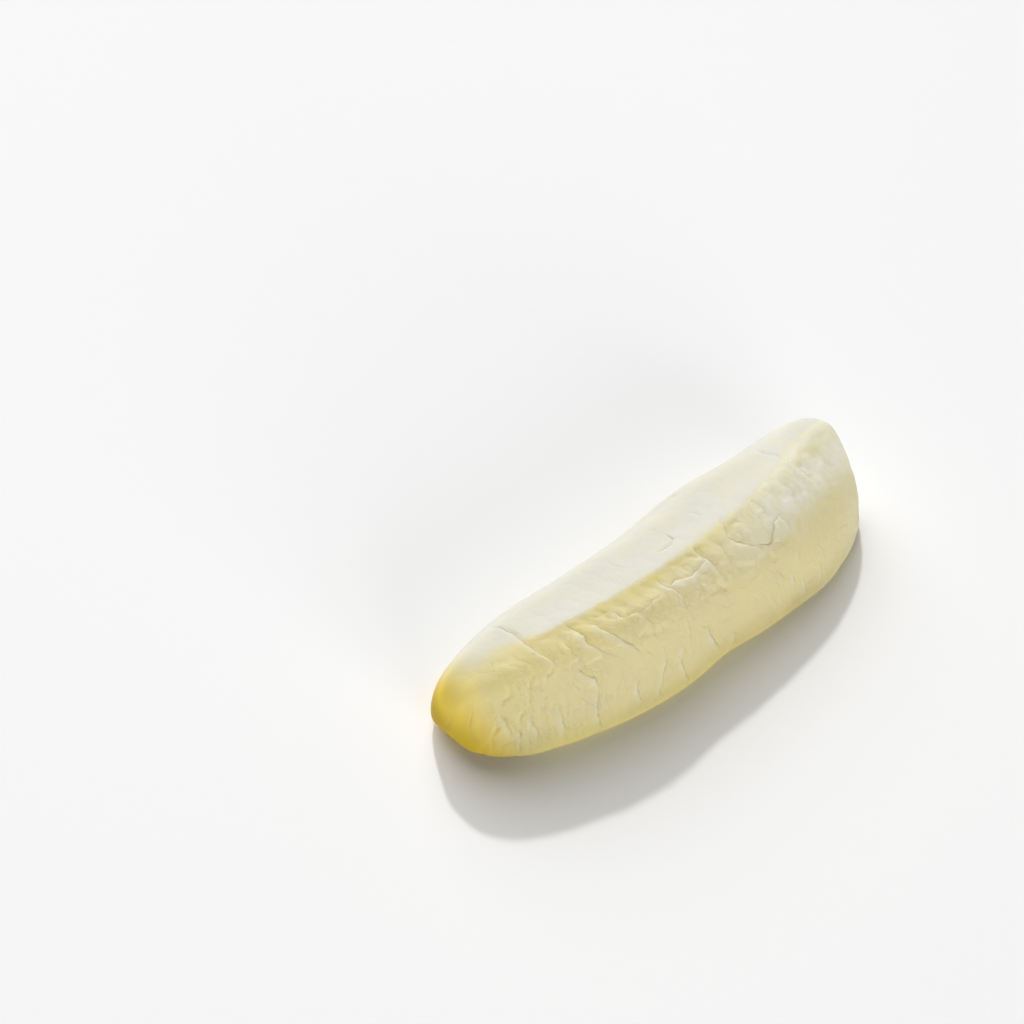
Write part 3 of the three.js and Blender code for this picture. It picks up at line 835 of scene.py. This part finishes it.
def noise_node(tree, size, detail):
    """Noise in Object coordinates whose largest blobs measure size, in metres."""
    place = tree.nodes.new("ShaderNodeTexCoord")
    node = tree.nodes.new("ShaderNodeTexNoise")
    node.inputs["Scale"].default_value = 1 / size
    node.inputs["Detail"].default_value = detail
    tree.links.new(place.outputs["Object"], node.inputs["Vector"])
    return node.outputs["Fac"]


def ranged(tree, value, low, high, start=0.0, end=1.0, smooth=False):
    """Stretches start..end to low..high, in a straight line or as a soft step."""
    node = tree.nodes.new("ShaderNodeMapRange")
    node.interpolation_type = "SMOOTHSTEP" if smooth else "LINEAR"
    for name, number in (("From Min", start), ("From Max", end), ("To Min", low), ("To Max", high)):
        node.inputs[name].default_value = number
    tree.links.new(value, node.inputs["Value"])
    return node.outputs["Result"]


def math_node(tree, operation, *values):
    """One step of arithmetic on sockets."""
    node = tree.nodes.new("ShaderNodeMath")
    node.operation = operation
    for value, socket in zip(values, node.inputs):
        tree.links.new(value, socket)
    return node.outputs["Value"]


def mixed(tree, share, under, over):
    """Mixes the colour over into the colour under by share; each colour is a socket or three numbers."""
    node = tree.nodes.new("ShaderNodeMix")
    node.data_type = "RGBA"
    tree.links.new(share, node.inputs["Factor"])
    for colour, socket in ((under, node.inputs[6]), (over, node.inputs[7])):
        if isinstance(colour, tuple):
            socket.default_value = (*colour, 1)
        else:
            tree.links.new(colour, socket)
    return node.outputs[2]


def bump(tree, height, rise, below=None):
    """A bump whose height socket spans rise, in metres, on top of the normal of the one below."""
    node = tree.nodes.new("ShaderNodeBump")
    node.inputs["Strength"].default_value = 1
    node.inputs["Distance"].default_value = rise
    tree.links.new(height, node.inputs["Height"])
    if below is not None:
        tree.links.new(below, node.inputs["Normal"])
    return node.outputs["Normal"]


# %% Banana foam: colours
# The chalk, which also holds painted highlights, is mottled. Then each layer lies over the ones before it.
MOTTLE = 0.0014  # size of its blobs, in metres
foam, tree, shader = new_material("banana_foam")
mottle = ranged(tree, noise_node(tree, MOTTLE, 4), 0.6, 1.3)
colour = mixed(tree, math_node(tree, "MULTIPLY", point_value(tree, "chalk_and_highlight"), mottle), FOAM, CHALK_AND_HIGHLIGHT)
# painted light in these layers: the dust also stands for sheen and is painted darker as shade down the
# hollow side, and shade is painted at the foot, in the valley and low on the yellow end
dust_sheen_and_shade_colour = mixed(tree, point_value(tree, "far_shade"), DUST_AND_SHEEN, SHADED_DUST)
layers = {"dust_and_sheen": dust_sheen_and_shade_colour, "painted_shade": SHADE_TINT, "yellow": LEMON, "cap": DEEP_YELLOW, "cap_low_shade": SHADED_OCHRE}
for mask, over in layers.items():
    colour = mixed(tree, point_value(tree, mask), colour, over)
print("the foam mixes", len([node for node in tree.nodes if node.type == "MIX"]), "colours so far")

# %% Banana foam: slits
# The slit is 1 on the line and 0 past its half width.
SLIT_WIDTH = 0.2
slit_away = math_node(tree, "ABSOLUTE", point_value(tree, "slit_distance"))
slit = ranged(tree, slit_away, 1, 0, 0, SLIT_WIDTH, True)
slit = math_node(tree, "MULTIPLY", slit, point_value(tree, "slit_strength"))
print("a slit is", 2 * SLIT_WIDTH, "mm wide at the top")

# %% Banana foam: hairlines
# The hairlines are the edges of small cells laid over the skin map and bent by a noise. They are kept
# only in some places.
CELL_ALONG, CELL_DOWN = 1.1, 1.7  # in millimetres, before the cells are packed closer by CELL_CROWD
CELL_CROWD, CELL_BEND, BENDS_PER_CELL = 1.5, 0.35, 1.3
HAIR_WIDTH = 0.07
HAIR_PATCH = 0.004  # size of the places with hairlines, in metres
skin_place = tree.nodes.new("ShaderNodeUVMap")
skin_place.uv_map = "skin"
cell_place = tree.nodes.new("ShaderNodeMapping")
cell_place.inputs["Scale"].default_value = (MAP_UNIT / CELL_ALONG, MAP_UNIT / CELL_DOWN, 1)
tree.links.new(skin_place.outputs["UV"], cell_place.inputs["Vector"])
bend = tree.nodes.new("ShaderNodeTexNoise")
bend.inputs["Scale"].default_value = BENDS_PER_CELL
tree.links.new(cell_place.outputs["Vector"], bend.inputs["Vector"])
bent_place = tree.nodes.new("ShaderNodeMix")
bent_place.data_type = "VECTOR"
bent_place.inputs["Factor"].default_value = CELL_BEND
tree.links.new(cell_place.outputs["Vector"], bent_place.inputs[4])
tree.links.new(bend.outputs["Color"], bent_place.inputs[5])
cells = tree.nodes.new("ShaderNodeTexVoronoi")
cells.voronoi_dimensions = "2D"
cells.feature = "DISTANCE_TO_EDGE"
cells.inputs["Scale"].default_value = CELL_CROWD
tree.links.new(bent_place.outputs[1], cells.inputs["Vector"])
hair = ranged(tree, cells.outputs["Distance"], 1, 0, 0, HAIR_WIDTH, True)
hair_zone = ranged(tree, noise_node(tree, HAIR_PATCH, 2), 0, 1, 0.42, 0.66)
hair_zone = math_node(tree, "MULTIPLY", hair_zone, point_value(tree, "texture"))
hair = math_node(tree, "MULTIPLY", hair, hair_zone)
print("a cell measures", round(CELL_ALONG / CELL_CROWD, 1), "by", round(CELL_DOWN / CELL_CROWD, 1), "mm")

# %% Banana foam: grain, bumps and sockets
# The grain is what is left of the foam's bubbles. Three bumps lie on one another, and both kinds of
# line are painted a little darker, as the shade in them. All sizes are in metres.
GRAIN = 0.00035
GRAIN_HEIGHT = 0.00004
SLIT_DEPTH = 0.00009
HAIR_DEPTH = 0.00004
SLIT_SHADE_SHARE, HAIR_SHADE_SHARE = 0.24, 0.04
END_ROUGHNESS, ROUGHNESS = 0.5, 0.8
grain_share = ranged(tree, point_value(tree, "texture"), 0.25, 1)
grain = math_node(tree, "MULTIPLY", noise_node(tree, GRAIN, 4), grain_share)
normal = bump(tree, slit, -SLIT_DEPTH)
normal = bump(tree, hair, -HAIR_DEPTH, normal)
normal = bump(tree, grain, GRAIN_HEIGHT, normal)
colour = mixed(tree, ranged(tree, slit, 0, SLIT_SHADE_SHARE), colour, SLIT_SHADE)
colour = mixed(tree, ranged(tree, hair, 0, HAIR_SHADE_SHARE), colour, SLIT_SHADE)
roughness = ranged(tree, point_value(tree, "smooth_end"), END_ROUGHNESS, ROUGHNESS)
glow_colour = mixed(tree, point_value(tree, "glow"), (0, 0, 0), GLOW)
tree.links.new(normal, shader.inputs["Normal"])
tree.links.new(colour, shader.inputs["Base Color"])
tree.links.new(roughness, shader.inputs["Roughness"])
tree.links.new(glow_colour, shader.inputs["Emission Color"])
for socket, value in FOAM_SOCKETS.items():
    shader.inputs[socket].default_value = value
mesh.materials.append(foam)
print("banana_foam has", len(tree.nodes), "nodes")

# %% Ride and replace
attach(foam_bar, "root")
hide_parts(NODE)
print("foam_bar stands for the solid", NODE)

# %% [markdown]
# ## The table and the light
# A white table fills the picture. The main light stands behind the candy, a little over 40 degrees
# high, and throws its shadow towards the camera with a fairly crisp edge. A wide soft light behind it
# and to the left brightens that shadow, and so does a faint light from the whole room. A third light,
# from the front right, is low. It reaches the upright flank and hardly the table, so that the shaded
# flank stays nearly as light as the roof.

# %% Table
TABLE_SIZE = 3.0  # in metres
TABLE_WHITE = (0.9, 0.9, 0.9)
TABLE_ROUGHNESS = 0.6
bpy.ops.mesh.primitive_plane_add(size=TABLE_SIZE, location=(0, 0, 0))
table = bpy.context.object
table.name = "table"
white, tree, shader = new_material("table_white")
shader.inputs["Base Color"].default_value = (*TABLE_WHITE, 1)
shader.inputs["Roughness"].default_value = TABLE_ROUGHNESS
table.data.materials.append(white)
print("the table is", TABLE_SIZE, "m wide")

# %% Lights
# Each light: name, azimuth (0 is the picture's right, 90 its back), elevation, strength and width, with
# the angles in degrees.
LIGHTS = [
    ("back_light", 95, 42, 1.25, 3),
    ("back_softbox", 112, 48, 2.15, 60),
    ("front_fill", 300, 12, 1.7, 36),
]
ROOM_STRENGTH = 0.07
SUN_DISTANCE = 1000  # in millimetres; only the direction of a sun counts

for name, azimuth, elevation, strength, width in LIGHTS:
    sun = bpy.data.objects.new(name, bpy.data.lights.new(name, "SUN"))
    bpy.context.scene.collection.objects.link(sun)
    turn, rise = math.radians(azimuth), math.radians(elevation)
    way = Vector((math.cos(rise) * math.cos(turn), math.cos(rise) * math.sin(turn), math.sin(rise)))
    look_at(sun, from_table(way * SUN_DISTANCE), picture_middle)
    sun.data.energy = strength
    sun.data.angle = math.radians(width)
world = bpy.data.worlds.new("room")
world.use_nodes = True
world.node_tree.nodes["Background"].inputs["Color"].default_value = (1, 1, 1, 1)
world.node_tree.nodes["Background"].inputs["Strength"].default_value = ROOM_STRENGTH
bpy.context.scene.world = world
bpy.context.scene.view_settings.view_transform = "Standard"
print(len(LIGHTS), "lights and a faintly lit room")
